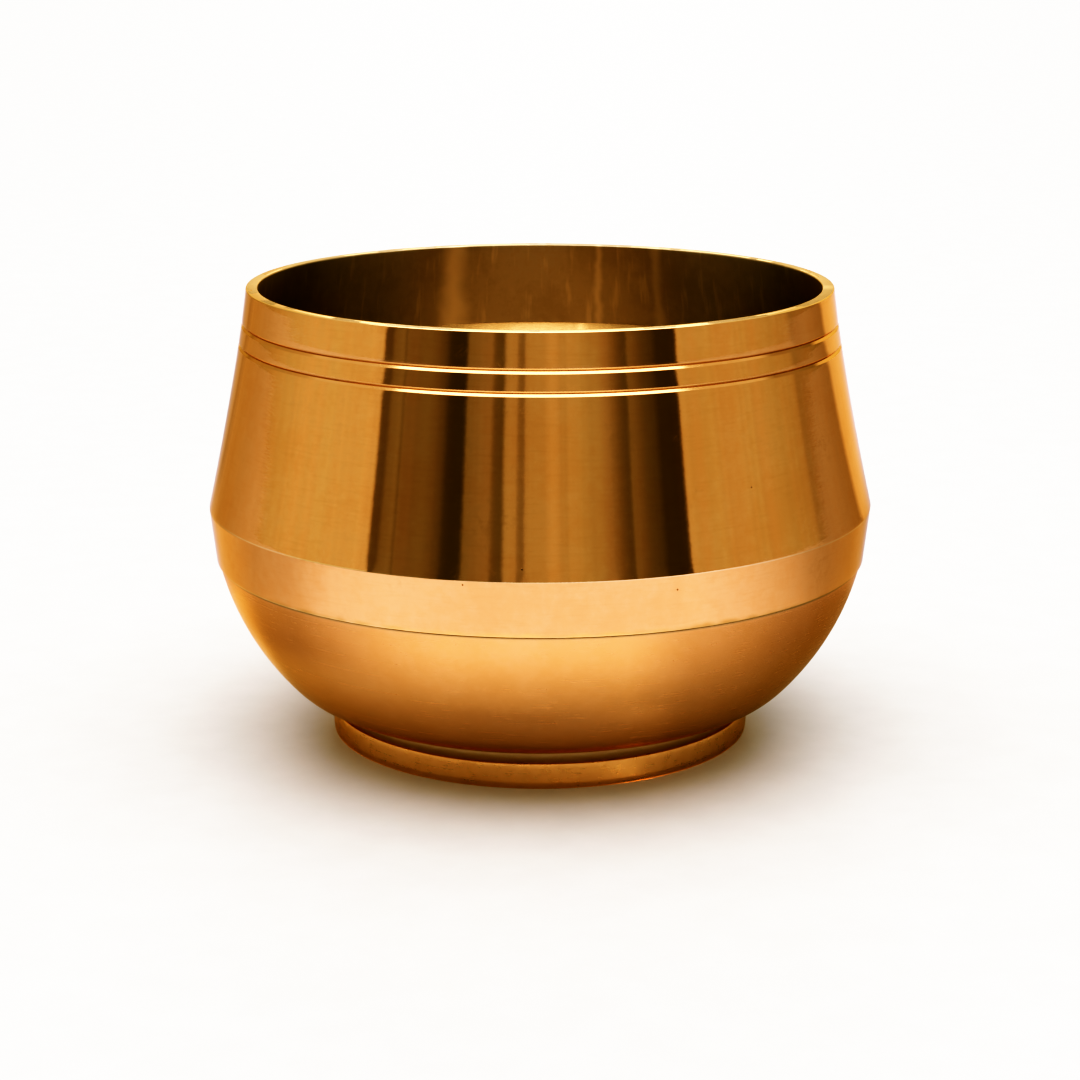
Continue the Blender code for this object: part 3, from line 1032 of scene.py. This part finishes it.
# The room above the walls and its lamps, as ramps over the sine of the elevation or the sideways part.
WALL_TOP = math.radians(33)
CEILING_START = math.radians(37)
CEILING = (0.58, 0.58, 0.58, 1)
BACK_LIGHT = (2.0, 2.0, 2.0, 1)
BACK_LIGHT_SIDE = (0.075, 0.105, 1.0, 0.0)
BACK_LIGHT_FOOT = (0.127, 0.155)
BACK_LIGHT_TOP = (0.38, 0.46, 1.0, 0.0)
SOFTBOX = (2.5, 2.4625, 2.3875, 1)
SOFTBOX_SPREAD = (0.80, 0.65)
SOFTBOX_EDGE = (0.88, 1.0, 1.0, 0.0)
BACKDROP = (0.74, 0.725, 0.70, 1.0)


def round_the_pot(g, azimuth, places):
    """The brightness at an azimuth in degrees, read off a list of (azimuth, brightness)."""
    first = places[0][0]
    span = places[-1][0] - first
    ramp = g.add("ShaderNodeValToRGB", {0: g.math("DIVIDE", g.minus(azimuth, first), span)})
    stops = ramp.color_ramp.elements
    stops.remove(stops[-1])
    for i, (angle, brightness) in enumerate(places):
        stop = stops[0] if i == 0 else stops.new((angle - first) / span)
        stop.position = (angle - first) / span
        stop.color = (brightness, brightness, brightness, 1)
    return ramp.outputs[0]


def azimuth_of(g, x, y):
    return g.math("DEGREES", g.math("ARCTAN2", x, g.times(y, -1.0)))


def walls_by_azimuth(g, x, y):
    """What stands round the pot, uneven in brightness and hue."""
    azimuth = azimuth_of(g, x, y)
    left = round_the_pot(g, azimuth, WALLS_LEFT)
    right = round_the_pot(g, azimuth, WALLS_RIGHT)
    walls = g.mix(g.math("GREATER_THAN", azimuth, 0.0), left, right)
    place = g.add("ShaderNodeCombineXYZ", {0: azimuth}).outputs[0]
    uneven = g.ramp(g.noise(place, *STREAK_WAVES), *STREAK_RANGE)
    hue = g.mix(g.ramp(g.noise(place, *HUE_WAVES), *HUE_CHANGE), WALL_BROWN, WALL_OLIVE)
    return g.vector("MULTIPLY", g.vector("MULTIPLY", walls, hue), uneven)


def bowl_and_belt_pool(g, x, azimuth, from_axis):
    """The floor as the bowl shows it close to the pot, turning into what the belt shows farther out."""
    spread_left = g.ramp(from_axis, *POOL_LEFT_SPREAD)
    spread_right = g.ramp(from_axis, *POOL_RIGHT_SPREAD)
    spread = g.mix(g.ramp(x, *POOL_BLEND), spread_left, spread_right)
    dimmer = g.minus(1.0, round_the_pot(g, azimuth, BOWL_POOL))
    bowl = g.times(g.minus(1.0, g.times(spread, dimmer)), g.ramp(from_axis, *POOL_RISE))
    return g.mix(g.ramp(from_axis, *BELT_START), bowl, round_the_pot(g, azimuth, BELT_POOL))


def pool_of_light(g, place):
    """The painted light and shade on the floor in the pot's reflections, from the place on the floor in
    metres; 1 is plain.
    """
    def distance(spot):
        node = g.add("ShaderNodeVectorMath", {0: place, 1: spot}, operation="DISTANCE")
        return node.outputs["Value"]

    x, y, _ = g.parts(place)
    azimuth = azimuth_of(g, x, y)
    from_axis = distance((0, 0, 0))
    side = g.ramp(distance(SIDE_GLINT), *SIDE_GLINT_REACH)
    facing = g.add("ShaderNodeLayerWeight", {"Blend": 0.5}).outputs["Facing"]
    shallow = g.times(g.math("POWER", facing, SHALLOW_POWER), g.ramp(from_axis, *SHALLOW_REACH))
    near = g.add_up(bowl_and_belt_pool(g, x, azimuth, from_axis), side, shallow)

    foot_pool = g.times(round_the_pot(g, azimuth, FOOT_POOL), g.ramp(from_axis, *FOOT_POOL_RISE))
    steepness = g.math("DIVIDE", g.light_path("Ray Length"), g.minus(from_axis, FOOT_RADIUS))
    seen_by_foot = g.times(g.ramp(steepness, *FOOT_VIEW), g.ramp(from_axis, *FOOT_POOL_END))
    near = g.mix(seen_by_foot, near, foot_pool)

    far = g.times(walls_by_azimuth(g, x, y), FAR_FLOOR_GAIN)
    is_far = g.ramp(from_axis, *FAR_FLOOR)
    return g.add_up(g.times(near, g.minus(1.0, is_far)), g.times(far, is_far))


def make_floor():
    """A pale table top, plain to the eye. In the pot's reflections its colour carries a painted pool of
    light and shade.
    """
    half = FLOOR_HALF_SIZE
    mesh = bpy.data.meshes.new("floor")
    corners = [(-half, -half, 0), (half, -half, 0), (half, half, 0), (-half, half, 0)]
    mesh.from_pydata(corners, [], [(0, 1, 2, 3)])
    floor = bpy.data.objects.new("floor", mesh)
    bpy.context.scene.collection.objects.link(floor)
    material = bpy.data.materials.new("pale_floor")
    material.use_nodes = True
    g = Graph(material.node_tree)
    place = g.add("ShaderNodeTexCoord").outputs["Object"]
    mirrored = g.light_path("Is Glossy Ray")
    from_axis = g.add("ShaderNodeVectorMath", {0: place}, operation="LENGTH").outputs["Value"]

    colour = g.mix(g.ramp(g.noise(place, *FLOOR_GRAIN), *FLOOR_GRAIN_RANGE), FLOOR_DIM, FLOOR_PALE)
    # Painted light and shade, only for rays that the pot mirrors.
    dimming = g.add_up(1.0, g.times(mirrored, g.minus(pool_of_light(g, place), 1.0)))
    level = g.add("ShaderNodeCombineXYZ", {0: dimming, 1: dimming, 2: dimming}).outputs[0]
    colour = g.vector("MULTIPLY", colour, level)
    for reach, tint in ((COOL_REACH, COOL_TINT), (BELT_START, BELT_TINT)):
        amount = g.times(g.ramp(from_axis, *reach), mirrored)
        colour = g.vector("MULTIPLY", colour, g.mix(amount, NO_TINT, tint))

    shader = g.add("ShaderNodeBsdfPrincipled", {"Base Color": colour, "Roughness": FLOOR_ROUGHNESS})
    g.feed(g.add("ShaderNodeOutputMaterial").inputs["Surface"], shader.outputs[0])
    mesh.materials.append(material)


def make_studio():
    """Soft light from all round: tan walls with dark gaps, a lamp behind and a softbox overhead."""
    world = bpy.data.worlds.new("studio")
    world.use_nodes = True
    bpy.context.scene.world = world
    g = Graph(world.node_tree)
    x, y, z = g.parts(g.add("ShaderNodeTexCoord").outputs["Generated"])
    walls = g.vector("MULTIPLY", walls_by_azimuth(g, x, y), WALL_TINT)
    room = g.mix(g.ramp(z, math.sin(WALL_TOP), math.sin(CEILING_START)), walls, CEILING)

    panel = g.times(
        g.ramp(g.math("ABSOLUTE", x), *BACK_LIGHT_SIDE),
        g.ramp(z, *BACK_LIGHT_FOOT),
        g.ramp(z, *BACK_LIGHT_TOP),
        g.math("GREATER_THAN", y, 0.0),
    )
    room = g.mix(panel, room, BACK_LIGHT)

    across = g.math("DIVIDE", g.math("DIVIDE", x, z), SOFTBOX_SPREAD[0])
    along = g.math("DIVIDE", g.math("DIVIDE", y, z), SOFTBOX_SPREAD[1])
    reach = g.add_up(g.times(across, across), g.times(along, along))
    overhead = g.times(g.ramp(reach, *SOFTBOX_EDGE), g.math("GREATER_THAN", z, 0.0))
    room = g.mix(overhead, room, SOFTBOX)

    light = g.mix(g.light_path("Is Camera Ray"), room, BACKDROP)
    background = g.add("ShaderNodeBackground", {"Color": light, "Strength": 1.0})
    g.feed(g.add("ShaderNodeOutputWorld").inputs["Surface"], background.outputs[0])


# Contrast: half a cosine wave over the shown brightness, with a toe that deepens the darks. Blue has a
# list of its own, scene light in and shown light out, that takes it out of the darks.
CONTRAST_STEPS = 10
CONTRAST_TOE = 0.075
CONTRAST_TOE_POWER = 1.3
BLUE_CONTRAST = [
    (0.0, 0.0), (0.008, 0.001), (0.02, 0.0065), (0.04, 0.020), (0.08, 0.051), (0.16, 0.125), (0.25, 0.23),
    (1.0, 1.0),
]
BLUE_CURVE = 2
COMBINED_CURVE = 3


def scene_light(shown):
    """The scene light that a screen shows at this brightness, 0 to 1."""
    return Color((shown, shown, shown)).from_srgb_to_scene_linear().r


def contrast_places():
    places = []
    for k in range(CONTRAST_STEPS + 1):
        level = k / CONTRAST_STEPS
        eased = max(level - CONTRAST_TOE * (1 - level) ** CONTRAST_TOE_POWER, 0)
        places.append((scene_light(level), scene_light((1 - math.cos(math.pi * eased)) / 2)))
    return places


def set_contrast():
    """A print-like contrast, so that bright brass stays pale and dim brass turns deep."""
    settings = bpy.context.scene.view_settings
    settings.view_transform = "Standard"
    settings.use_curve_mapping = True
    mapping = settings.curve_mapping
    mapping.extend = "HORIZONTAL"
    for index, places in ((BLUE_CURVE, BLUE_CONTRAST), (COMBINED_CURVE, contrast_places())):
        curve = mapping.curves[index]
        curve.points[0].location = places[0]
        curve.points[1].location = places[-1]
        for place in places[1:-1]:
            curve.points.new(*place)
    mapping.update()


make_camera()
make_floor()
make_studio()
make_pot()
set_contrast()
